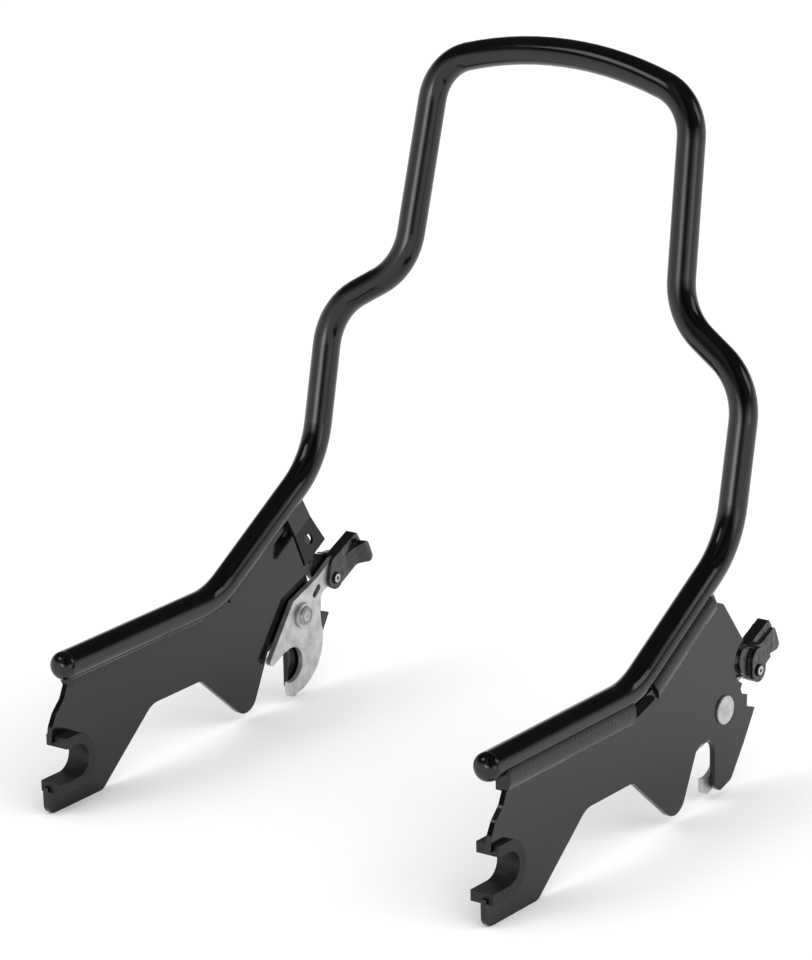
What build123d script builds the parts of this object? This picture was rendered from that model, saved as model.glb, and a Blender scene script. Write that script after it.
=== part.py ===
from build123d import *
import os
from math import cos, radians, sin, sqrt

# Detachable sissy bar for a motorcycle, in millimetres.
# A bent tube hoop is welded to two laser-cut side plates. Each plate has an open front notch
# with a rubber bush, a rear slot for a docking stud, and a claw latch with a thumb lever.
# Origin: middle of the front docking axis. +X to the bar's left, +Y rearward, +Z up.
# "out" is a distance from the middle plane, the same for both sides.

# Tube and hoop
tube_d = 15.9
tube_wall = 2.0
rail_height = 55.0
rail_front = -3.0
rail_to_bend = 129.7
rise_angle = 30.0
rise_length = 110.5
lean_angle = 77.3
upright_length = 87.0
shoulder_in = 48.0
shoulder_up = 30.5
neck_in = 6.5
neck_up = 114.0
arch_rise = 16.5
low_bend_r = 50.0
shoulder_bend_r = 38.0
top_corner_r = 29.0
plug_depth = 12.0
plug_rim = 0.4
plug_crown = 6.4
plug_point = 0.8
plug_play = 0.1

# Side plates
plate_gap = 285.6
plate_t = 3.2
rail_inset = 3.8
dock_pitch = 188.0
stud_d = 19.05
stud_play = 0.3
plate_start = 6.0
foot_drop = 27.8
foot_length = 29.6
waist_up = 8.1
waist_start = 74.6
waist_end = -69.5
waist_radii = [14, 7, 10.5]
spike_tip = (-26.2, -29.6)
slot_shoulder = (-7.9, 7.4)
slot_depth = -19.5
slot_r = 3.0
window_half = 10.0
window_drop = 4.6
window_slope = 2.0
bead_back = 1.2
plate_end = -11.4
front_edge = [(-0.4, 34.0), (-7.4, 27.4), (-11.0, 20.8), (-17.2, -15.2)]
front_radii = [8, 6, 4, 4]
foot_nose = -17.0
foot_radii = [6, 8]
hook_arm = [(-4.5, -45.4), (6.7, -42.2), (19.9, -24.5), (30.7, -7.9), (22.7, -5.0)]
hook_arm_radii = [2.5, 6, 0, 0.8, 0.8]
tooth = [(23.1, 1.8), (18.0, 3.5), (16.3, 6.7), (18.0, 9.7), (19.2, 33.9), (-0.8, 60.7)]
tooth_radii = [0, 0.8, 1.5, 0, 0, 5]
stop_r = 12.9
stop_place = (23.0, 21.6)

# Front bush
bush_bore_d = 18.6
bush_rim = 2.9
bush_flange = 3.2
bush_inner_t = 8.0
bush_outer_t = 3.0
lip_top = 9.0
lip_low = 14.7

# Weld beads
weld_leg = 7.5
weld_in = 5.0
weld_toe = 5.5
weld_gap = 0.4
weld_lead = 3.0
weld_swell = 2.2
weld_reach = 7.6
weld_cap = 1.6
root_gap = 0.3

# Rack tab
tab_t = 2.0
tab_out = 137.6
tab_fold = 22.0
tab_foot = 38.8
tab_lead = 5.0
tab_width = 16.5
tab_flare = 6.0
tab_taper = 1.0
tab_splay = 4.5
tab_hole_d = 6.2

# Latch, rivet and washer
rivet_place = (19.4, 21.8)
shank_d = 9.0
rivet_head_d = 14.5
rivet_head_t = 1.8
rivet_boss_d = 11.0
rivet_boss_t = 1.3
rivet_round = 1.0
rivet_outer_d = 16.0
rivet_outer_t = 1.3
washer_t = 1.0
washer_d = 16.0
latch_t = 3.2
side_play = 0.2
claw_seat = (-11.4, -26.7)
seat_play = 0.8
snout = [(-30.3, -17.7), (-30.2, -21.8), (-26.6, -21.4), (-16.5, -17.0)]
latch_front = [(15.2, 18.6), (-8.5, 10.3)]
claw_tip = [(-14.2, -36.6), (-14.2, -43.6), (-12.6, -45.4), (-7.0, -45.0)]
claw_back = [(11.2, -35.8), (18.4, -13.7), (16.8, -2.0), (17.6, 5.9), (19.4, 8.4), (22.6, 9.2)]
slot_at = (13.6, 10.5)
slot_turn = 41.0
slot_w = 3.8
slot_length = 8.6
arm_tip = (31.4, 21.0)
arm_r = 5.6
arm_slope = 33.4

# Release lever, its pin and spring
pin_place = (29.8, 14.2)
pin_d = 5.0
pin_head_d = 6.8
pin_head_t = 0.8
lever_angle = 23.7
lever_length = 29.0
body_w = 6.8
body_outline = [(-4.5, 4.8), (1.0, 12.2), (27.0, 12.2), (28.0, 5.4), (28.4, -5.4), (20.0, -5.4), (0.0, -6.0)]
body_radii = [0, 3, 1.2, 0, 1.2, 3, 0]
inner_wing = [(12.0, 0.0), (20.0, 1.4), (25.6, 4.8), (lever_length, 4.8)]
outer_wing = [(8.0, 0.0), (13.0, 1.4), (23.0, 1.6), (lever_length, 1.0)]
wing_radii = [6, 2.5]
wing_low = -7.2
wing_top = 6.6
wing_belly = [(0.0, -4.6), (18.5, -4.6), (25.0, wing_low)]
wing_ends = [(lever_length, wing_low), (lever_length, wing_top), (0.0, wing_top)]
wing_profile_radii = [0, 6, 3, 2.5, 3, 0]
scoop_depth = 2.4
cheek_t = 2.0
outer_cheek_t = 2.6
lever_gap = 0.8
lobe_r = 6.6
arm_room = 12.9
hub_mid = (1.4, 2.9)
nose_r = 10.2
nose_at = (-1.4, 9.8)
nose_low_turn = 225.6
nose_high_turn = 115.5
saddle = [(-1.6, 17.6), (3.3, 13.4), (6.1, 12.2), (11.0, 9.6), (15.5, 4.4), (15.5, -4.0), (2.6, -4.6)]
spring_pocket_r = 5.2
spring_wire = 1.2
spring_turns = 2.0
spring_room = 1.6
leg_knee = (2.7, 2.3)
leg_drop = (2.3, 2.0)
leg_tip = (-2.6, -2.2)
running_play = 0.1

# Worked-out sizes
tube_r = tube_d / 2
inner_out = plate_gap / 2
outer_out = inner_out + plate_t
rail_out = inner_out - rail_inset
contact_drop = sqrt(tube_r**2 - rail_inset**2)
edge_drop = contact_drop + root_gap
edge_level = rail_height - edge_drop
stud_r = stud_d / 2 + stud_play
notch_r = bush_bore_d / 2 + bush_rim
rise_dir = (cos(radians(rise_angle)), sin(radians(rise_angle)))
lean_dir = (cos(radians(lean_angle)), sin(radians(lean_angle)))
bend_1 = (rail_front + rail_to_bend, rail_height)
bend_2 = (bend_1[0] + rise_length * rise_dir[0], bend_1[1] + rise_length * rise_dir[1])
rivet_at = (dock_pitch + rivet_place[0], rivet_place[1])
plate_run = (rivet_at[0] + plate_end - bend_1[0] - edge_drop * rise_dir[1]) / rise_dir[0]
tab_start = plate_run - tab_lead
tab_end = tab_start + tab_width
latch_out = inner_out - washer_t - side_play - latch_t
lever_in = latch_out - side_play - cheek_t
lever_out = outer_out + lever_gap + outer_cheek_t
body_out = lever_in + body_w
sides = {"left": 1, "right": -1}


def side_plane(side, out):
    """A plane across the bar at a distance out, with rearward and up as its own axes."""
    return Plane(origin=(side * out, 0, 0), x_dir=(0, 1, 0), z_dir=(1, 0, 0))


def below_rise(along, below):
    """A point given along the rising run from the first bend, and square below its axis."""
    return (
        bend_1[0] + along * rise_dir[0] + below * rise_dir[1],
        bend_1[1] + along * rise_dir[1] - below * rise_dir[0],
    )


def from_rivet(back, up):
    return (rivet_at[0] + back, rivet_at[1] + up)


def from_dock(back, up):
    return (dock_pitch + back, up)


pin_at = from_rivet(*pin_place)


def on_lever(along, above):
    """A point along the lever from its pin, and square above the lever's own axis."""
    turn = radians(lever_angle)
    return (
        pin_at[0] + along * cos(turn) - above * sin(turn),
        pin_at[1] + along * sin(turn) + above * cos(turn),
    )


def around_nose(turn):
    """A point on the round nose of the lever, turned from the lever's own axis."""
    return on_lever(nose_at[0] + nose_r * cos(radians(turn)), nose_at[1] + nose_r * sin(radians(turn)))


def save(part, node):
    part.label = node
    export_step(part, f"parts/{node}.step")


os.makedirs("parts", exist_ok=True)

# Hoop: side rails run back, rise, lean up, step in at the shoulders and meet in an arched top
lean_plane = Plane(origin=(0, *bend_2), x_dir=(1, 0, 0), z_dir=(0, -lean_dir[1], lean_dir[0]))
shoulder_out = rail_out - shoulder_in
corner_out = shoulder_out - neck_in
shoulder_level = upright_length + shoulder_up
corner_level = shoulder_level + neck_up

with BuildLine(lean_plane) as crown:
    for side in sides.values():
        Polyline(
            (side * rail_out, upright_length / 2),
            (side * rail_out, upright_length),
            (side * shoulder_out, shoulder_level),
            (side * corner_out, corner_level),
        )
    ThreePointArc((corner_out, corner_level), (0, corner_level + arch_rise), (-corner_out, corner_level))
    levels = {v: lean_plane.to_local_coords(Vector(*v)).Y for v in crown.vertices()}
    fillet([v for v, y in levels.items() if abs(y - corner_level) < 1], top_corner_r)
    levels = {v: lean_plane.to_local_coords(Vector(*v)).Y for v in crown.vertices()}
    bends = [v for v, y in levels.items() if min(abs(y - upright_length), abs(y - shoulder_level)) < 1]
    fillet(bends, shoulder_bend_r)

with BuildLine() as rails:
    half_up = (bend_2[0] + upright_length / 2 * lean_dir[0], bend_2[1] + upright_length / 2 * lean_dir[1])
    for side in sides.values():
        FilletPolyline(
            (side * rail_out, rail_front, rail_height),
            (side * rail_out, *bend_1),
            (side * rail_out, *bend_2),
            (side * rail_out, *half_up),
            radius=low_bend_r,
        )

hoop_path = Wire(rails.edges() + crown.edges())
tube_end = Plane(origin=(rail_out, rail_front, rail_height), z_dir=(0, 1, 0))

with BuildPart() as hoop:
    with BuildSketch(tube_end):
        Circle(tube_r)
        Circle(tube_r - tube_wall, mode=Mode.SUBTRACT)
    sweep(path=hoop_path)

with BuildPart() as hoop_core:
    with BuildSketch(tube_end):
        Circle(tube_r)
    sweep(path=hoop_path)

save(hoop.part, "hoop")

# End plugs: a domed cap on the rail's open end with a spigot inside the tube
spigot_r = tube_r - tube_wall - plug_play
for name, side in sides.items():
    rail_end = Plane(origin=(side * rail_out, rail_front, rail_height), z_dir=(0, -1, 0))
    with BuildPart() as plug:
        with BuildSketch(rail_end):
            Circle(spigot_r)
        extrude(amount=-plug_depth)
        chamfer(plug.faces().sort_by(Axis.Y)[-1].edges(), plug_point)
        with BuildSketch(rail_end):
            Circle(tube_r)
        extrude(amount=plug_rim + plug_crown)
        fillet(plug.faces().sort_by(Axis.Y)[0].edges(), plug_crown)
    save(plug.part, f"end_plug_{name}")

# Side plate: front notch, foot, waist, hooked dock slot, stop cut-out for the lever and weld relief window
bend_shift = edge_drop * (1 - cos(radians(rise_angle))) / sin(radians(rise_angle))
window_mid = bend_1[0] + bend_shift
plate_points = [
    (plate_start, edge_level),
    *front_edge,
    (foot_nose, -foot_drop),
    (foot_length, -foot_drop),
    (waist_start, waist_up),
    from_dock(waist_end, waist_up),
    from_dock(*spike_tip),
    from_dock(*slot_shoulder),
    from_dock(0, 0),
    from_dock(stud_r, 0),
    from_dock(stud_r, slot_depth),
    *[from_rivet(*p) for p in hook_arm],
    *[from_rivet(*p) for p in tooth],
    below_rise(plate_run, edge_drop),
    below_rise(window_half, edge_drop),
    below_rise(window_half - window_slope, edge_drop + window_drop),
    (window_mid - window_half + window_slope, edge_level - window_drop),
    (window_mid - window_half, edge_level),
]
plate_radii = [0, *front_radii, *foot_radii, *waist_radii, 0, 0, 0, slot_r]
plate_radii += [*hook_arm_radii, *tooth_radii, 0, 0, 1, 1, 0]

for name, side in sides.items():
    with BuildPart() as plate:
        with BuildSketch(side_plane(side, inner_out)):
            with BuildLine():
                FilletPolyline(*plate_points, radius=plate_radii, close=True)
            make_face()
            with Locations((0, 0)):
                Circle(notch_r, mode=Mode.SUBTRACT)
            with Locations((-notch_r, 0)):
                Rectangle(2 * notch_r, 2 * notch_r, mode=Mode.SUBTRACT)
            with Locations(from_dock(0, 0)):
                Circle(stud_r, mode=Mode.SUBTRACT)
            with Locations(from_rivet(*stop_place)):
                Circle(stop_r, mode=Mode.SUBTRACT)
            with Locations(rivet_at):
                Circle(shank_d / 2, mode=Mode.SUBTRACT)
        extrude(amount=side * plate_t)
    save(plate.part, f"side_plate_{name}")

# Front bush: a rubber channel gripping the plate's notch, open to the front
far = 3 * notch_r
for name, side in sides.items():
    with BuildPart() as bush:
        layers = (
            (inner_out - bush_inner_t, bush_inner_t, notch_r + bush_flange),
            (inner_out, plate_t, notch_r),
            (outer_out, bush_outer_t, notch_r + bush_flange),
        )
        for start, depth, outer_r in layers:
            with BuildSketch(side_plane(side, start)):
                Circle(outer_r)
                with Locations((-outer_r, 0)):
                    Rectangle(2 * outer_r, 2 * outer_r)
                Circle(bush_bore_d / 2, mode=Mode.SUBTRACT)
                with Locations((-outer_r, 0)):
                    Rectangle(2 * outer_r, bush_bore_d, mode=Mode.SUBTRACT)
            extrude(amount=side * depth)
        with BuildSketch(side_plane(side, 0)):
            front_step = [(-lip_top, far), (-lip_top, 0), (-lip_low, 0), (-lip_low, -far)]
            Polygon(*front_step, (-far, -far), (-far, far), align=None)
        extrude(amount=side * plate_gap, mode=Mode.SUBTRACT)
    save(bush.part, f"dock_bush_{name}")


def weld_run(side, start, direction, length):
    """Outer fillet and inner bead along one straight run of plate and tube, trimmed by both."""
    section = Plane(
        origin=(0, *start), x_dir=(side, 0, 0), z_dir=(0, -side * direction[0], -side * direction[1])
    )
    toe = (outer_out, -contact_drop - weld_leg)
    swell = (outer_out + weld_swell, -contact_drop - weld_leg / 3)
    shoulder = (rail_out + weld_reach, -weld_cap)
    inner_toe = (inner_out, -contact_drop - weld_toe)
    inner_top = (inner_out - weld_in, -contact_drop)
    inner_swell = (inner_out - weld_in * 2 / 3, -contact_drop - weld_toe * 2 / 3)
    with BuildPart() as run:
        with BuildSketch(section):
            with BuildLine():
                Polyline(shoulder, (rail_out, 0), (rail_out, toe[1]), toe)
                ThreePointArc(toe, swell, shoulder)
            make_face()
            with BuildLine():
                Polyline(inner_top, (outer_out, inner_top[1]), (outer_out, inner_toe[1]), inner_toe)
                ThreePointArc(inner_toe, inner_swell, inner_top)
            make_face()
        extrude(amount=-side * length)
    return run.part


# The front weld's back also closes the window from outside, so no light shows through it
window_front = window_mid - window_half
window_points = [
    (window_front - window_slope, edge_level + window_slope),
    below_rise(window_half, edge_drop - window_slope),
    below_rise(window_half, edge_drop),
    below_rise(window_half - window_slope, edge_drop + window_drop),
    (window_front + window_slope, edge_level - window_drop),
    (window_front, edge_level),
    (window_front - window_slope, edge_level),
]
weld_starts = {
    "front": ((plate_start - weld_lead, rail_height), (1, 0), window_front - plate_start + weld_lead),
    "rear": (below_rise(window_half + weld_gap, 0), rise_dir, plate_run - window_half - 2 * weld_gap),
}
for name, side in sides.items():
    with BuildPart() as plate_block:
        with BuildSketch(side_plane(side, inner_out)):
            with BuildLine():
                FilletPolyline(*plate_points, radius=plate_radii, close=True)
            make_face()
        extrude(amount=side * plate_t)
    for place, (start, direction, length) in weld_starts.items():
        with BuildPart() as weld:
            add(weld_run(side, start, direction, length))
            if place == "front":
                with BuildSketch(side_plane(side, outer_out - bead_back)):
                    Polygon(*window_points, align=None)
                extrude(amount=side * (bead_back + root_gap))
            add(hoop_core.part, mode=Mode.SUBTRACT)
            add(plate_block.part, mode=Mode.SUBTRACT)
        save(weld.part, f"{place}_weld_{name}")

# Rack tab: a web welded under the rising tube, folded inward below, with one hole
fold_ends = [below_rise(tab_start, tab_fold), below_rise(tab_end, tab_fold)]
foot_ends = [below_rise(tab_end - tab_taper, tab_foot), below_rise(tab_start - tab_flare, tab_foot)]
for name, side in sides.items():
    corners = [Vector(side * tab_out, *end) for end in fold_ends]
    corners += [Vector(side * (tab_out - tab_splay), *end) for end in foot_ends]
    leaf = Plane(Face(Wire.make_polygon(corners[:3])))
    flat = [leaf.to_local_coords(corner) for corner in corners]
    middle = sum(flat, Vector(0, 0, 0)) / len(flat)
    inward = -1 if leaf.z_dir.X * side > 0 else 1
    with BuildPart() as tab:
        with BuildSketch(side_plane(side, tab_out)):
            Polygon(below_rise(tab_start, 0), below_rise(tab_end, 0), *reversed(fold_ends), align=None)
        extrude(amount=-side * tab_t)
        with BuildSketch(leaf):
            Polygon(*[(corner.X, corner.Y) for corner in flat], align=None)
            with Locations((middle.X, middle.Y)):
                Circle(tab_hole_d / 2, mode=Mode.SUBTRACT)
        extrude(amount=inward * tab_t)
        add(hoop_core.part, mode=Mode.SUBTRACT)
    save(tab.part, f"rack_tab_{name}")

# Rivet and washer: the latch turns on the rivet's shank
for name, side in sides.items():
    with BuildPart() as rivet:
        steps = (
            (latch_out - side_play - rivet_head_t, rivet_head_d, rivet_head_t),
            (latch_out - side_play - rivet_head_t - rivet_boss_t, rivet_boss_d, rivet_boss_t),
            (latch_out - side_play, shank_d, latch_t + 2 * side_play + washer_t + plate_t),
            (outer_out, rivet_outer_d, rivet_outer_t),
        )
        for start, width, depth in steps:
            with BuildSketch(side_plane(side, start)):
                with Locations(rivet_at):
                    Circle(width / 2)
            extrude(amount=side * depth)
        rims = rivet.edges().filter_by(GeomType.CIRCLE).sort_by(Axis.X)
        inner_rim = rims[0] if side > 0 else rims[-1]
        outer_rim = rims[-1] if side > 0 else rims[0]
        fillet(inner_rim, rivet_round)
        fillet(outer_rim, rivet_round / 2)
    save(rivet.part, f"latch_rivet_{name}")

    with BuildPart() as washer:
        with BuildSketch(side_plane(side, inner_out - washer_t)):
            with Locations(rivet_at):
                Circle(washer_d / 2)
                Circle(shank_d / 2 + running_play, mode=Mode.SUBTRACT)
        extrude(amount=side * washer_t)
    save(washer.part, f"latch_washer_{name}")

# Latch hook: a claw whose round seat closes on the docking stud, with an arm carrying the lever
seat_r = stud_d / 2 + seat_play
seat_at = from_rivet(*claw_seat)
arm_at = from_rivet(*arm_tip)
front, nose, tip, back = [[from_rivet(*p) for p in run] for run in (latch_front, snout, claw_tip, claw_back)]
square = (-sin(radians(arm_slope)), cos(radians(arm_slope)))
arm_side = (arm_at[0] + arm_r * square[0], arm_at[1] + arm_r * square[1])
arm_back = (arm_at[0] - arm_r * square[0], arm_at[1] - arm_r * square[1])
pin_boss = lobe_r - side_play
pin_back_edge = (pin_at[0] - pin_boss * square[0], pin_at[1] - pin_boss * square[1])

for name, side in sides.items():
    with BuildPart() as hook:
        with BuildSketch(side_plane(side, latch_out)):
            with BuildLine():
                Polyline(pin_at, arm_at, arm_side, *front, nose[0])
                ThreePointArc(*nose[:3])
                Polyline(nose[2], nose[3], seat_at, tip[0], tip[1])
                ThreePointArc(*tip[1:4])
                ThreePointArc(tip[3], *back[:2])
                ThreePointArc(*back[1:4])
                ThreePointArc(*back[3:6])
                Line(back[5], pin_at)
            make_face()
            with Locations(pin_at):
                Circle(pin_boss)
            with Locations(arm_at):
                Circle(arm_r)
            Polygon(pin_at, arm_at, arm_back, pin_back_edge, align=None)
            with Locations(seat_at):
                Circle(seat_r, mode=Mode.SUBTRACT)
            with Locations(rivet_at):
                Circle(shank_d / 2 + running_play, mode=Mode.SUBTRACT)
            with Locations(pin_at):
                Circle(pin_d / 2, mode=Mode.SUBTRACT)
            with Locations(from_rivet(*slot_at)):
                SlotCenterToCenter(slot_length - slot_w, slot_w, rotation=slot_turn, mode=Mode.SUBTRACT)
        extrude(amount=side * latch_t)
    save(hook.part, f"latch_hook_{name}")

# Lever pin: headed at both ends, tight in the latch arm
for name, side in sides.items():
    with BuildPart() as pin:
        pin_steps = (
            (lever_in - side_play - pin_head_t, pin_head_d, pin_head_t),
            (lever_in - side_play, pin_d, lever_out - lever_in + 2 * side_play),
            (lever_out + side_play, pin_head_d, pin_head_t),
        )
        for start, width, depth in pin_steps:
            with BuildSketch(side_plane(side, start)):
                with Locations(pin_at):
                    Circle(width / 2)
            extrude(amount=side * depth)
        fillet(pin.edges().filter_by(GeomType.CIRCLE).group_by(Axis.X)[0], pin_head_t / 2)
        fillet(pin.edges().filter_by(GeomType.CIRCLE).group_by(Axis.X)[-1], pin_head_t / 2)
    save(pin.part, f"lever_pin_{name}")

# Release lever: a body astride the latch's arm, an outer cheek with a round nose, and a winged thumb end
lever_plan = Plane(
    origin=(0, *on_lever(0, wing_low)),
    x_dir=(0, cos(radians(lever_angle)), sin(radians(lever_angle))),
    z_dir=(0, -sin(radians(lever_angle)), cos(radians(lever_angle))),
)
nose_out = latch_out + latch_t + side_play + spring_room
cheek_in = lever_out - outer_cheek_t
for name, side in sides.items():
    inner_rim = [(along, -side * (lever_in - spread)) for along, spread in inner_wing]
    outer_rim = [(along, -side * (body_out + spread)) for along, spread in outer_wing]
    with BuildPart() as wings:
        with BuildSketch(lever_plan):
            with BuildLine():
                FilletPolyline(*inner_rim, radius=wing_radii)
                FilletPolyline(*outer_rim, radius=wing_radii)
                scoop_mid = (lever_length - scoop_depth, -side * (lever_in + body_out) / 2)
                ThreePointArc(inner_rim[-1], scoop_mid, outer_rim[-1])
                Line(inner_rim[0], outer_rim[0])
            make_face()
        extrude(amount=wing_top - wing_low)
        with BuildSketch(side_plane(side, 0)):
            with BuildLine():
                wing_profile = [on_lever(*p) for p in wing_belly + wing_ends]
                FilletPolyline(*wing_profile, radius=wing_profile_radii, close=True)
            make_face()
        extrude(amount=side * plate_gap, mode=Mode.INTERSECT)

    with BuildPart() as lever:
        with BuildSketch(side_plane(side, lever_in)):
            with BuildLine():
                FilletPolyline(*[on_lever(*p) for p in body_outline], radius=body_radii, close=True)
            make_face()
            with Locations(pin_at):
                Circle(lobe_r)
        extrude(amount=side * body_w)
        add(wings.part)
        with BuildSketch(side_plane(side, lever_in + cheek_t)):
            with Locations(pin_at):
                Circle(arm_room)
        extrude(amount=side * plate_t * 2, mode=Mode.SUBTRACT)
        with BuildSketch(side_plane(side, nose_out)):
            with BuildLine():
                nose_low = around_nose(nose_low_turn)
                nose_high = around_nose(nose_high_turn)
                ThreePointArc(nose_low, around_nose(180), nose_high)
                Polyline(nose_high, *[on_lever(*p) for p in saddle], nose_low)
            make_face()
            with Locations(pin_at):
                Circle(lobe_r)
        extrude(amount=side * (cheek_in - nose_out))
        with BuildSketch(side_plane(side, nose_out)):
            with Locations(pin_at):
                Circle(spring_pocket_r)
        extrude(amount=side * (cheek_in - nose_out), mode=Mode.SUBTRACT)
        with BuildSketch(side_plane(side, cheek_in)):
            SlotCenterPoint(on_lever(*hub_mid), pin_at, 2 * lobe_r)
        extrude(amount=side * outer_cheek_t)
        with BuildSketch(side_plane(side, lever_in - cheek_t)):
            with Locations(pin_at):
                Circle(pin_d / 2 + running_play)
        extrude(amount=side * (lever_out - lever_in + 2 * cheek_t), mode=Mode.SUBTRACT)
    save(lever.part, f"release_lever_{name}")

# Lever spring: a coil round the pin with one leg hooked into the latch's slot
coil_r = pin_d / 2 + spring_wire / 2 + running_play
coil_start = latch_out + latch_t + side_play + spring_wire / 2
coil_length = lever_out - outer_cheek_t - side_play - spring_wire / 2 - coil_start
for name, side in sides.items():
    with BuildPart() as spring:
        coil_plane = Plane(origin=(side * coil_start, *pin_at), x_dir=(0, 0, -1), z_dir=(side, 0, 0))
        turns = Edge.make_helix(coil_length / spring_turns, coil_length, coil_r, lefthand=side < 0)
        coil = coil_plane.from_local_coords(turns)
        with BuildSketch(Plane(origin=coil @ 0, z_dir=coil % 0)):
            Circle(spring_wire / 2)
        sweep(path=coil, is_frenet=True)
        leg_start = coil @ 0.01
        leg_bends = [(slot_at[0] + back, slot_at[1] + up) for back, up in (leg_knee, leg_drop, leg_tip)]
        knee, drop, tip_end = [from_rivet(*p) for p in leg_bends]
        leg = [
            (leg_start.X, leg_start.Y, leg_start.Z),
            (side * coil_start, *knee),
            (side * (latch_out + latch_t / 2), *drop),
            (side * (latch_out + latch_t / 2), *tip_end),
        ]
        with BuildLine() as leg_path:
            Polyline(*leg)
        with BuildSketch(Plane(origin=leg[0], z_dir=leg_path.line % 0)):
            Circle(spring_wire / 2)
        sweep(path=leg_path.line, transition=Transition.ROUND)
    save(spring.part, f"lever_spring_{name}")
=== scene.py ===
import bmesh
import bpy
from math import cos, pi, radians, sin
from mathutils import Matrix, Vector
from bpy.props import FloatProperty, FloatVectorProperty, PointerProperty


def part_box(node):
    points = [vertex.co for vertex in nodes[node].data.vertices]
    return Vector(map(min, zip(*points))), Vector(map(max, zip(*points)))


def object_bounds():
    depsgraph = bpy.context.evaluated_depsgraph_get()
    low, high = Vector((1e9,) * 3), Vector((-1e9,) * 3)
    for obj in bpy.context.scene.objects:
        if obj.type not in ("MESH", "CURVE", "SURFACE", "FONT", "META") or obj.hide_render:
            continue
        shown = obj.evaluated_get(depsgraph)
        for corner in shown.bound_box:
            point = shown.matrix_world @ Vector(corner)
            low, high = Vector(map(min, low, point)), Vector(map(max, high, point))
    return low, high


bl_info = {
    "name": "Sissy bar looks",
    "version": (1, 0, 0),
    "blender": (4, 5, 0),
    "location": "View3D > Sidebar > Sissy bar",
    "description": "Finishes, weld texture and studio for the docking sissy bar",
    "category": "Object",
}

MM = 0.001
SIDES = ("left", "right")
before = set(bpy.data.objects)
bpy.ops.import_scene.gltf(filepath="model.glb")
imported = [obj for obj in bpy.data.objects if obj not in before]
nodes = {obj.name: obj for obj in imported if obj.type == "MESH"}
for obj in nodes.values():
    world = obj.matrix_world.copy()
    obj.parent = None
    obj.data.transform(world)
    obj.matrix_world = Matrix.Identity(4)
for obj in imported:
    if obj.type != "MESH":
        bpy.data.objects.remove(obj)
cad_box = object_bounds()


def middle_of(box):
    """The middle of a box that is given by its low and high corners."""
    return [(low + high) / 2 for low, high in zip(*box)]


# The relief window's middle along Y and up Z, how many times as long as high its rough patch is, and the
# distances from the middle, measured along it, over which the patch fades. In the patch the reflection is
# turned down as painted shade
window_at = (129.4 * MM, 47.6 * MM)
window_stretch = 1.9
window_fade = (9.5 * MM, 11 * MM)
# The middle of the left rivet's inner end, and the line along X that both lever pins lie on
rivet_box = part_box("latch_rivet_left")
rivet_end = (rivet_box[0][0], *middle_of(rivet_box)[1:])
pin_line = (0, *middle_of(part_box("lever_pin_left"))[1:])
# The angle at which the tube rises behind its first bend
rise = radians(30)


def linear(hex_colour):
    """An sRGB hex colour as the linear RGBA that a socket takes."""
    values = [int(hex_colour[i : i + 2], 16) / 255 for i in (1, 3, 5)]
    return [v / 12.92 if v <= 0.04045 else ((v + 0.055) / 1.055) ** 2.4 for v in values] + [1.0]


def add_node(tree, kind, settings=None, feeds=None, stops=()):
    """Adds a node, fills its sockets or properties, sets its ramp stops and links other outputs into it.
    A Mix node's sockets go by number: 0 is the factor, 2 and 3 its values, and 6 and 7 its colours."""
    node = tree.nodes.new(kind)
    for name, value in (settings or {}).items():
        if isinstance(name, int) or name in node.inputs:
            node.inputs[name].default_value = value
        else:
            setattr(node, name, value)
    for number, (place, colour) in enumerate(stops):
        if number >= len(node.color_ramp.elements):
            node.color_ramp.elements.new(place)
        node.color_ramp.elements[number].position = place
        node.color_ramp.elements[number].color = colour
    for name, source in (feeds or {}).items():
        tree.links.new(source, node.inputs[name])
    return node


def new_tree(name):
    """A material with an empty node tree, and the tree."""
    material = bpy.data.materials.new(name)
    material.use_nodes = True
    material.node_tree.nodes.clear()
    return material, material.node_tree


class BarSettings(bpy.types.PropertyGroup):
    coat: FloatVectorProperty(
        name="Coat", description="Powder coat's colour", default=linear("#060607"), size=4, subtype="COLOR"
    )
    rubber: FloatVectorProperty(
        name="Rubber", description="Dock bushes' colour", default=linear("#151516"), size=4, subtype="COLOR"
    )
    bloom: FloatVectorProperty(
        name="Bloom",
        description="Grey bloom on the dock bushes",
        default=linear("#1f1f21"),
        size=4,
        subtype="COLOR",
    )
    zinc: FloatVectorProperty(
        name="Zinc",
        description="Colour of the zinc plate",
        default=linear("#d0d1d3"),
        size=4,
        subtype="COLOR",
    )
    cloud: FloatVectorProperty(
        name="Cloud",
        description="Darker clouding in the zinc plate",
        default=linear("#a9aaac"),
        size=4,
        subtype="COLOR",
    )
    lever: FloatVectorProperty(
        name="Lever", description="Levers' black", default=linear("#0d0d0e"), size=4, subtype="COLOR"
    )
    coat_roughness: FloatProperty(
        name="Coat roughness", description="How far the coat spreads a reflection", default=0.1, min=0, max=1
    )
    edge: FloatProperty(
        name="Edge round",
        description="Radius that the coat gives to cut edges",
        default=0.45 * MM,
        unit="LENGTH",
    )
    ripple: FloatProperty(
        name="Ripple pitch",
        description="Spacing of the ripples on a weld",
        default=2.1 * MM,
        unit="LENGTH",
    )


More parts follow.
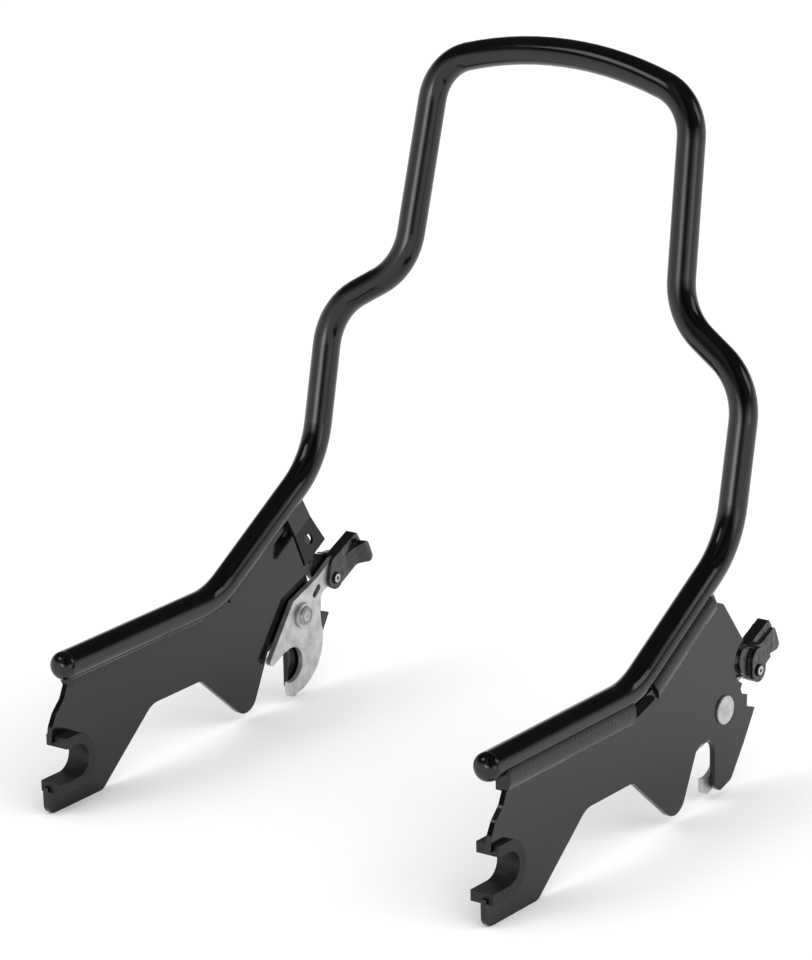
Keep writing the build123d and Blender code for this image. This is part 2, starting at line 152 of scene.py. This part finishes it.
class StudioSettings(bpy.types.PropertyGroup):
    camera_at: FloatVectorProperty(
        name="Camera",
        description="Where the camera stands",
        default=(1.61871, -2.08652, 1.03086),
        subtype="XYZ",
    )
    camera_turn: FloatVectorProperty(
        name="Camera turn",
        description="The camera's rotation",
        default=(radians(72.15883), radians(1.06912), radians(35.91324)),
        subtype="EULER",
    )
    lens: FloatProperty(
        name="Lens", description="Focal length in millimetres on a 36 mm sensor", default=201.68
    )
    paper: FloatVectorProperty(
        name="Paper",
        description="Colour of the floor and surround",
        default=linear("#ffffff"),
        size=4,
        subtype="COLOR",
    )
    ceiling: FloatProperty(
        name="Ceiling",
        description="Brightness of the ceiling in the gloss, as a share of the wall below it",
        default=0.05,
        min=0,
        max=1,
    )


def powder_coat(settings, name, rippled=False):
    """Cured gloss powder on steel: deep black, mirror-like, with a faint orange peel and soft cut edges.
    On the welds the frozen ripples of the bead show through it."""
    material, tree = new_tree(name)
    place = add_node(tree, "ShaderNodeTexCoord").outputs["Object"]
    # Orange peel about 2.5 mm from crest to crest
    peel = add_node(tree, "ShaderNodeTexNoise", {"Scale": 1 / (2.5 * MM), "Detail": 1.0}, {"Vector": place})
    # Handling haze in patches about 20 mm wide
    haze = add_node(tree, "ShaderNodeTexNoise", {"Scale": 1 / (20 * MM), "Detail": 4.0}, {"Vector": place})
    haze_gain = 0.1
    gloss = add_node(
        tree,
        "ShaderNodeMapRange",
        {
            "From Min": 0.4,
            "From Max": 0.8,
            "To Min": settings.coat_roughness,
            "To Max": settings.coat_roughness + haze_gain,
        },
        {"Value": haze.outputs["Fac"]},
    )
    edge = add_node(tree, "ShaderNodeBevel", {"samples": 4, "Radius": settings.edge})
    bump = add_node(
        tree,
        "ShaderNodeBump",
        {"Strength": 0.1, "Distance": 0.1 * MM},
        {"Height": peel.outputs["Fac"], "Normal": edge.outputs["Normal"]},
    )
    feeds = {"Roughness": gloss.outputs["Result"], "Normal": bump.outputs["Normal"]}
    if rippled:
        feeds = weld_feeds(settings, tree, place, feeds)
    surface = add_node(tree, "ShaderNodeBsdfPrincipled", {"Base Color": settings.coat, "IOR": 1.5}, feeds)
    add_node(tree, "ShaderNodeOutputMaterial", feeds={"Surface": surface.outputs["BSDF"]})
    return material


def weld_feeds(settings, tree, place, feeds):
    """What the coat's shader is fed on a weld: ripples along the bead, and a rough relief window whose
    reflection is turned down as painted shade.
    """
    # Crescents along the bead, uneven as a hand-laid weld is. They run halfway between the level rail and the
    # rising tube, with a slant across the bead
    along = (0.25, cos(rise / 2), sin(rise / 2))
    sway_width = 6 * MM
    sway_reach = 9 * MM
    run = add_node(tree, "ShaderNodeVectorMath", {"operation": "DOT_PRODUCT", 1: along}, {0: place})
    sway = add_node(tree, "ShaderNodeTexNoise", {"Scale": 1 / sway_width, "Detail": 2.0}, {"Vector": place})
    swayed = add_node(
        tree,
        "ShaderNodeMath",
        {"operation": "MULTIPLY_ADD", 1: sway_reach},
        {0: sway.outputs["Fac"], 2: run.outputs["Value"]},
    )
    turn = add_node(
        tree,
        "ShaderNodeMath",
        {"operation": "MULTIPLY", 1: 2 * pi / settings.ripple},
        {0: swayed.outputs[0]},
    )
    wave = add_node(tree, "ShaderNodeMath", {"operation": "SINE"}, {0: turn.outputs[0]})
    ripples = add_node(
        tree,
        "ShaderNodeBump",
        {"Strength": 0.2, "Distance": 0.1 * MM},
        {"Height": wave.outputs[0], "Normal": feeds["Normal"]},
    )
    # The relief window is rough, with spatter about 2 mm wide, and its reflection is turned down there to
    # paint the shade of the recess. A tenth of that carries on along the bead
    flat = add_node(
        tree, "ShaderNodeVectorMath", {"operation": "MULTIPLY", 1: (0, 1, window_stretch)}, {0: place}
    )
    away = add_node(
        tree,
        "ShaderNodeVectorMath",
        {"operation": "DISTANCE", 1: (0, window_at[0], window_at[1] * window_stretch)},
        {0: flat.outputs["Vector"]},
    )
    window_rough_and_shade = add_node(
        tree,
        "ShaderNodeMapRange",
        {"From Min": window_fade[0], "From Max": window_fade[1], "To Min": 1.0, "To Max": 0.1},
        {"Value": away.outputs["Value"]},
    ).outputs["Result"]
    spatter = add_node(
        tree, "ShaderNodeTexNoise", {"Scale": 1 / (2.2 * MM), "Detail": 3.0}, {"Vector": place}
    )
    lumps = add_node(
        tree, "ShaderNodeMath", {"operation": "MULTIPLY"}, {0: window_rough_and_shade, 1: spatter.outputs["Fac"]}
    )
    lumpy = add_node(
        tree,
        "ShaderNodeBump",
        {"Strength": 1.0, "Distance": 1.6 * MM},
        {"Height": lumps.outputs[0], "Normal": ripples.outputs["Normal"]},
    )
    rough_window = 0.75
    roughness = add_node(
        tree, "ShaderNodeMix", {"data_type": "FLOAT", 3: rough_window}, {0: window_rough_and_shade, 2: feeds["Roughness"]}
    )
    # Painted shade: the relief window reflects far less than the coat round it
    shine = add_node(tree, "ShaderNodeMapRange", {"To Min": 0.5, "To Max": 0.06}, {"Value": window_rough_and_shade})
    return {
        "Roughness": roughness.outputs[0],
        "Normal": lumpy.outputs["Normal"],
        "Specular IOR Level": shine.outputs["Result"],
    }


def dock_rubber(settings):
    """Moulded rubber: matt black with a fine grain and a faint grey bloom."""
    material, tree = new_tree("moulded_black_rubber")
    place = add_node(tree, "ShaderNodeTexCoord").outputs["Object"]
    # Mould grain about 0.7 mm, and bloom in patches about 8 mm wide
    grain = add_node(tree, "ShaderNodeTexNoise", {"Scale": 1 / (0.7 * MM), "Detail": 3.0}, {"Vector": place})
    bloom = add_node(tree, "ShaderNodeTexNoise", {"Scale": 1 / (8 * MM), "Detail": 3.0}, {"Vector": place})
    tone = add_node(
        tree,
        "ShaderNodeValToRGB",
        feeds={"Fac": bloom.outputs["Fac"]},
        stops=((0.35, settings.rubber), (0.75, settings.bloom)),
    )
    edge = add_node(tree, "ShaderNodeBevel", {"samples": 4, "Radius": settings.edge})
    bump = add_node(
        tree,
        "ShaderNodeBump",
        {"Strength": 0.25, "Distance": 0.15 * MM},
        {"Height": grain.outputs["Fac"], "Normal": edge.outputs["Normal"]},
    )
    surface = add_node(
        tree,
        "ShaderNodeBsdfPrincipled",
        {"IOR": 1.5, "Roughness": 0.5, "Specular IOR Level": 0.35},
        {"Base Color": tone.outputs["Color"], "Normal": bump.outputs["Normal"]},
    )
    add_node(tree, "ShaderNodeOutputMaterial", feeds={"Surface": surface.outputs["BSDF"]})
    return material


def zinc_plate(settings, name, middle=None, keep=(1, 1, 1), rings=()):
    """Bright zinc on blanked steel: satin grey with fine tumbling marks. An end can get rings of tone round
    its middle, each a radius and a shade, which paint in the shade of grooves and holes, and a 0 in keep
    leaves out the axis that they run along."""
    material, tree = new_tree(name)
    place = add_node(tree, "ShaderNodeTexCoord").outputs["Object"]
    # Clouding in the plate about 7 mm wide
    cloud = add_node(tree, "ShaderNodeTexNoise", {"Scale": 1 / (7 * MM), "Detail": 5.0}, {"Vector": place})
    # Rolling and tumbling marks about 1.2 mm long, drawn four times as long as wide
    stretched = add_node(
        tree, "ShaderNodeMapping", {"Scale": (1, 1, 4), "Rotation": (radians(40), 0, 0)}, {"Vector": place}
    )
    marks = add_node(
        tree,
        "ShaderNodeTexNoise",
        {"Scale": 1 / (1.2 * MM), "Detail": 4.0},
        {"Vector": stretched.outputs["Vector"]},
    )
    tone = add_node(
        tree,
        "ShaderNodeValToRGB",
        feeds={"Fac": cloud.outputs["Fac"]},
        stops=((0.3, settings.cloud), (0.7, settings.zinc)),
    )
    colour = tone.outputs["Color"]
    if rings:
        reach = rings[-1][0]
        # Both sides of the bar are folded onto one, so one middle serves the pair
        folded = add_node(tree, "ShaderNodeVectorMath", {"operation": "ABSOLUTE"}, {0: place})
        flat = add_node(
            tree, "ShaderNodeVectorMath", {"operation": "MULTIPLY", 1: keep}, {0: folded.outputs["Vector"]}
        )
        away = add_node(
            tree, "ShaderNodeVectorMath", {"operation": "DISTANCE", 1: middle}, {0: flat.outputs["Vector"]}
        )
        out = add_node(tree, "ShaderNodeMapRange", {"From Max": reach}, {"Value": away.outputs["Value"]})
        # Painted shade: the rings darken the zinc colour round the end's middle
        painted_ring_shade = add_node(
            tree,
            "ShaderNodeValToRGB",
            feeds={"Fac": out.outputs["Result"]},
            stops=[(radius / reach, (shade, shade, shade, 1)) for radius, shade in rings],
        )
        colour = add_node(
            tree,
            "ShaderNodeMix",
            {"data_type": "RGBA", "blend_type": "MULTIPLY", 0: 1.0},
            {6: colour, 7: painted_ring_shade.outputs["Color"]},
        ).outputs[2]
    gloss = add_node(
        tree, "ShaderNodeMapRange", {"To Min": 0.32, "To Max": 0.5}, {"Value": marks.outputs["Fac"]}
    )
    edge = add_node(tree, "ShaderNodeBevel", {"samples": 4, "Radius": settings.edge})
    bump = add_node(
        tree,
        "ShaderNodeBump",
        {"Strength": 0.12, "Distance": 0.1 * MM},
        {"Height": marks.outputs["Fac"], "Normal": edge.outputs["Normal"]},
    )
    surface = add_node(
        tree,
        "ShaderNodeBsdfPrincipled",
        {"Metallic": 0.8},
        {"Base Color": colour, "Roughness": gloss.outputs["Result"], "Normal": bump.outputs["Normal"]},
    )
    add_node(tree, "ShaderNodeOutputMaterial", feeds={"Surface": surface.outputs["BSDF"]})
    return material


def cast_black(settings, name, roughness):
    """Cast or drawn metal under glossy black: uneven, so reflections break into streaks."""
    material, tree = new_tree(name)
    place = add_node(tree, "ShaderNodeTexCoord").outputs["Object"]
    # Swells left by the mould, about 5 mm wide
    swell = add_node(tree, "ShaderNodeTexNoise", {"Scale": 1 / (5 * MM), "Detail": 3.0}, {"Vector": place})
    uneven = 0.14
    gloss = add_node(
        tree,
        "ShaderNodeMapRange",
        {"To Min": roughness, "To Max": roughness + uneven},
        {"Value": swell.outputs["Fac"]},
    )
    # A casting's edges are twice as round as a cut edge under powder
    edge = add_node(tree, "ShaderNodeBevel", {"samples": 4, "Radius": settings.edge * 2})
    bump = add_node(
        tree,
        "ShaderNodeBump",
        {"Strength": 0.9, "Distance": 1.0 * MM},
        {"Height": swell.outputs["Fac"], "Normal": edge.outputs["Normal"]},
    )
    surface = add_node(
        tree,
        "ShaderNodeBsdfPrincipled",
        {"Base Color": settings.lever, "IOR": 1.6},
        {"Roughness": gloss.outputs["Result"], "Normal": bump.outputs["Normal"]},
    )
    add_node(tree, "ShaderNodeOutputMaterial", feeds={"Surface": surface.outputs["BSDF"]})
    return material


def dress(material, *names):
    """Puts one finish on the named CAD nodes, which are a single node or a left and right pair."""
    for name in names:
        for node in [name] if name in nodes else [f"{name}_{side}" for side in SIDES]:
            nodes[node].data.materials.clear()
            nodes[node].data.materials.append(material)


class SISSYBAR_OT_coat(bpy.types.Operator):
    """Coats the hoop, plates, tabs and plugs, and lets the bead's ripples show on the welds"""

    bl_idname = "sissybar.coat"
    bl_label = "Powder coat"

    def execute(self, context):
        settings = context.scene.bar
        coat = powder_coat(settings, "steel_gloss_black_powder_coat")
        bead = powder_coat(settings, "weld_bead_under_powder_coat", rippled=True)
        dress(coat, "hoop", "side_plate", "rack_tab", "end_plug")
        dress(bead, "front_weld", "rear_weld")
        return {"FINISHED"}


class SISSYBAR_OT_bushes(bpy.types.Operator):
    """Gives the dock bushes their rubber"""

    bl_idname = "sissybar.bushes"
    bl_label = "Dock bushes"

    def execute(self, context):
        dress(dock_rubber(context.scene.bar), "dock_bush")
        return {"FINISHED"}


# Each ring is a radius and a shade. A turning punch closes the rivet's end and leaves a groove, and the dark
# middle and the dark ring 4 mm out are painted shade. The pin's ends are drilled, and the black middle is
# painted shade in the hole, with a bright ring round it and a black rim
rivet_painted_shade_rings = ((0, 0.3), (0.9 * MM, 0.9), (2.4 * MM, 1.0), (4.0 * MM, 0.45), (5.3 * MM, 0.9), (8 * MM, 1.0))
pin_painted_shade_rings = ((0, 0.02), (0.9 * MM, 0.02), (1.2 * MM, 1.0), (2.4 * MM, 1.0), (2.7 * MM, 0.03), (4 * MM, 0.03))


class SISSYBAR_OT_latches(bpy.types.Operator):
    """Plates the latches, washers, rivets and pins in zinc"""

    bl_idname = "sissybar.latches"
    bl_label = "Latches"

    def execute(self, context):
        settings = context.scene.bar
        latch = zinc_plate(settings, "blanked_steel_zinc_plate")
        rivet = zinc_plate(settings, "headed_rivet_zinc_plate", rivet_end, rings=rivet_painted_shade_rings)
        pin = zinc_plate(settings, "hollow_pin_zinc_plate", pin_line, keep=(0, 1, 1), rings=pin_painted_shade_rings)
        dress(latch, "latch_hook", "latch_washer")
        dress(rivet, "latch_rivet")
        dress(pin, "lever_pin")
        return {"FINISHED"}


class SISSYBAR_OT_levers(bpy.types.Operator):
    """Blackens the levers and their springs"""

    bl_idname = "sissybar.levers"
    bl_label = "Levers"

    def execute(self, context):
        settings = context.scene.bar
        dress(cast_black(settings, "cast_zinc_gloss_black", roughness=0.1), "release_lever")
        dress(cast_black(settings, "spring_wire_black_oxide", roughness=0.35), "lever_spring")
        return {"FINISHED"}


# The studio's walls as gloss sees them, each a bearing in degrees from +X towards +Y and a brightness. There
# are two softboxes, at -89 and -7 degrees, with a dark gap between them
wall_glow = (
    (-164, 1.0),
    (-116, 1.0),
    (-104, 1.9),
    (-89, 6.4),
    (-77, 3.9),
    (-66, 0.6),
    (-54, 0.16),
    (-42, 0.5),
    (-24, 1.5),
    (-7, 2.6),
    (6, 1.1),
    (20, 0.7),
    (46, 1.0),
)
# Each lamp has a name, a place, a width in metres and a power in watts, and faces the lit point
lit_point = Vector((0, 0.13, 0.12))
lamps = (("key", Vector((-1.2, -1.6, 2.2)), 1.0, 8), ("side", Vector((2.0, 1.4, 1.6)), 1.2, 8))
# How far the floor runs each way from the middle, in metres
floor_reach = 6


class SISSYBAR_OT_studio(bpy.types.Operator):
    """Builds the pale floor, the white surround, the lamps and the camera"""

    bl_idname = "sissybar.studio"
    bl_label = "Studio"

    def execute(self, context):
        studio = context.scene.studio
        scene = context.scene
        scene.view_settings.view_transform = "Standard"

        lens = bpy.data.cameras.new("camera")
        lens.lens = studio.lens
        lens.sensor_width = 36
        camera = bpy.data.objects.new("camera", lens)
        camera.location = studio.camera_at
        camera.rotation_euler = studio.camera_turn
        scene.collection.objects.link(camera)
        scene.camera = camera

        sheet = bpy.data.meshes.new("floor")
        form = bmesh.new()
        bmesh.ops.create_grid(form, x_segments=1, y_segments=1, size=floor_reach)
        form.to_mesh(sheet)
        form.free()
        floor = bpy.data.objects.new("floor", sheet)
        floor.location.z = cad_box[0][2]
        scene.collection.objects.link(floor)

        # Matt paper: even white with no shine
        paper, tree = new_tree("studio_paper_white")
        matt = add_node(tree, "ShaderNodeBsdfDiffuse", {"Color": studio.paper, "Roughness": 0.5})
        add_node(tree, "ShaderNodeOutputMaterial", feeds={"Surface": matt.outputs["BSDF"]})
        floor.data.materials.append(paper)

        # White all round for the eye and the matt surfaces. Gloss sees the walls, and the ceiling over them
        world = bpy.data.worlds.new("studio_surround")
        scene.world = world
        world.use_nodes = True
        tree = world.node_tree
        tree.nodes.clear()
        way = add_node(tree, "ShaderNodeTexCoord").outputs["Generated"]
        split = add_node(tree, "ShaderNodeSeparateXYZ", feeds={"Vector": way})
        bearing = add_node(
            tree, "ShaderNodeMath", {"operation": "ARCTAN2"}, {0: split.outputs["Y"], 1: split.outputs["X"]}
        )
        round_room = add_node(
            tree, "ShaderNodeMapRange", {"From Min": -pi, "From Max": pi}, {"Value": bearing.outputs["Value"]}
        )
        brightest = max(glow for _, glow in wall_glow)
        walls = add_node(
            tree,
            "ShaderNodeValToRGB",
            feeds={"Fac": round_room.outputs["Result"]},
            stops=[((degrees + 180) / 360, [glow / brightest] * 3 + [1]) for degrees, glow in wall_glow],
        )
        up_the_wall = add_node(
            tree,
            "ShaderNodeValToRGB",
            feeds={"Fac": split.outputs["Z"]},
            stops=[(up, (glow, glow, glow, 1)) for up, glow in ((0, 1), (0.1, 0.9), (0.35, studio.ceiling))],
        )
        room = add_node(
            tree,
            "ShaderNodeMix",
            {"data_type": "RGBA", "blend_type": "MULTIPLY", 0: 1.0},
            {6: walls.outputs["Color"], 7: up_the_wall.outputs["Color"]},
        )
        plain = add_node(tree, "ShaderNodeBackground", {"Color": studio.paper, "Strength": 1.0})
        shine = add_node(tree, "ShaderNodeBackground", {"Strength": brightest}, {"Color": room.outputs[2]})
        path = add_node(tree, "ShaderNodeLightPath").outputs["Is Glossy Ray"]
        mix = add_node(
            tree,
            "ShaderNodeMixShader",
            feeds={0: path, 1: plain.outputs["Background"], 2: shine.outputs["Background"]},
        )
        add_node(tree, "ShaderNodeOutputWorld", feeds={"Surface": mix.outputs["Shader"]})

        for name, place, size, power in lamps:
            data = bpy.data.lights.new(name, "AREA")
            data.size = size
            data.energy = power
            lamp = bpy.data.objects.new(name, data)
            lamp.location = place
            lamp.rotation_euler = (lit_point - place).to_track_quat("-Z", "Y").to_euler()
            scene.collection.objects.link(lamp)
        return {"FINISHED"}


class SISSYBAR_PT_panel(bpy.types.Panel):
    """Lists the steps that dress the sissy bar"""

    bl_idname = "SISSYBAR_PT_panel"
    bl_label = "Sissy bar"
    bl_space_type = "VIEW_3D"
    bl_region_type = "UI"
    bl_category = "Sissy bar"

    def draw(self, context):
        for step in STEPS:
            self.layout.operator(step.bl_idname)


STEPS = (SISSYBAR_OT_studio, SISSYBAR_OT_coat, SISSYBAR_OT_bushes, SISSYBAR_OT_latches, SISSYBAR_OT_levers)
CLASSES = (BarSettings, StudioSettings, *STEPS, SISSYBAR_PT_panel)


def register():
    for kind in CLASSES:
        bpy.utils.register_class(kind)
    bpy.types.Scene.bar = PointerProperty(type=BarSettings)
    bpy.types.Scene.studio = PointerProperty(type=StudioSettings)


def unregister():
    del bpy.types.Scene.studio
    del bpy.types.Scene.bar
    for kind in reversed(CLASSES):
        bpy.utils.unregister_class(kind)


def main():
    register()
    bpy.ops.sissybar.studio()
    bpy.ops.sissybar.coat()
    bpy.ops.sissybar.bushes()
    bpy.ops.sissybar.latches()
    bpy.ops.sissybar.levers()


if __name__ == "__main__":
    main()
